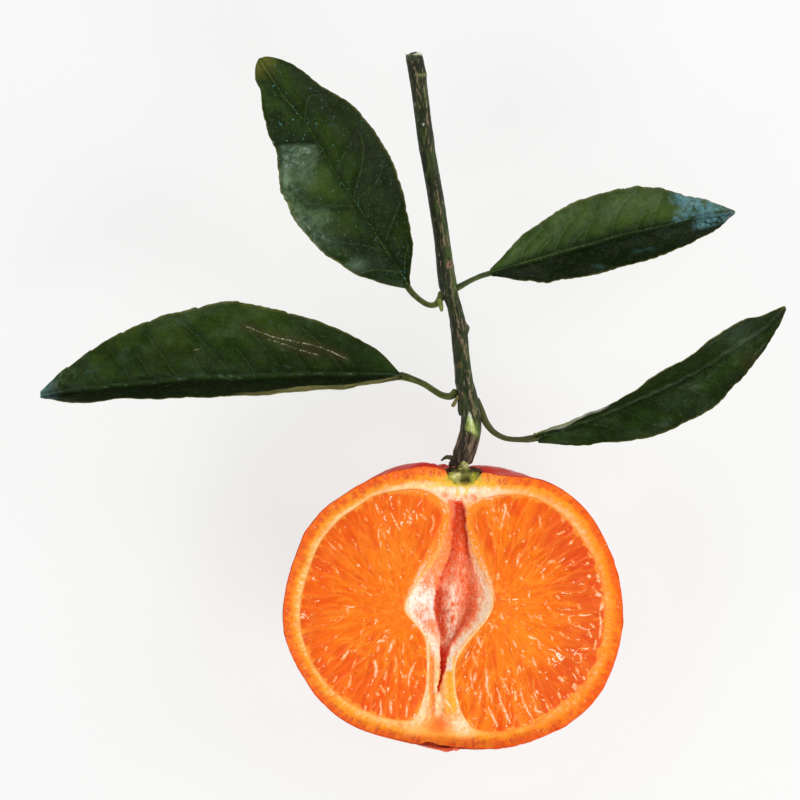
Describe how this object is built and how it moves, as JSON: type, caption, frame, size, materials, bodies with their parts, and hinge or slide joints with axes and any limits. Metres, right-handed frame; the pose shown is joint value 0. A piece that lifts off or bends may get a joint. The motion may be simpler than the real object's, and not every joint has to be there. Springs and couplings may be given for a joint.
{
  "type": "mandarin half with twig and leaves",
  "caption": "Half a mandarin cut through its stem axis, lying on its skin with the juicy cut face up, with its calyx, a woody twig and glossy folded leaves.",
  "frame": {"origin": "centre of the small flat spot on the skin that the half rests on", "axes": "+Z is the cut face's outward normal, +Y points from the fruit along the stem axis to the twig, +X is to the right of the cut face seen from above with the twig at the top"},
  "size_m": [0.1449, 0.1358, 0.0466],
  "materials": {
    "skin": "satin",
    "pith": "matte",
    "flesh": "gloss",
    "calyx": "matte",
    "bark": "matte",
    "leaf": "satin"
  },
  "bodies": {
    "root": {"fruit_half": "skin", "calyx": "calyx", "twig": "bark", "leaf_upper_left": "leaf", "leaf_left": "leaf", "leaf_upper_right": "leaf", "leaf_lower_right": "leaf"}
  },
  "joints": []
}
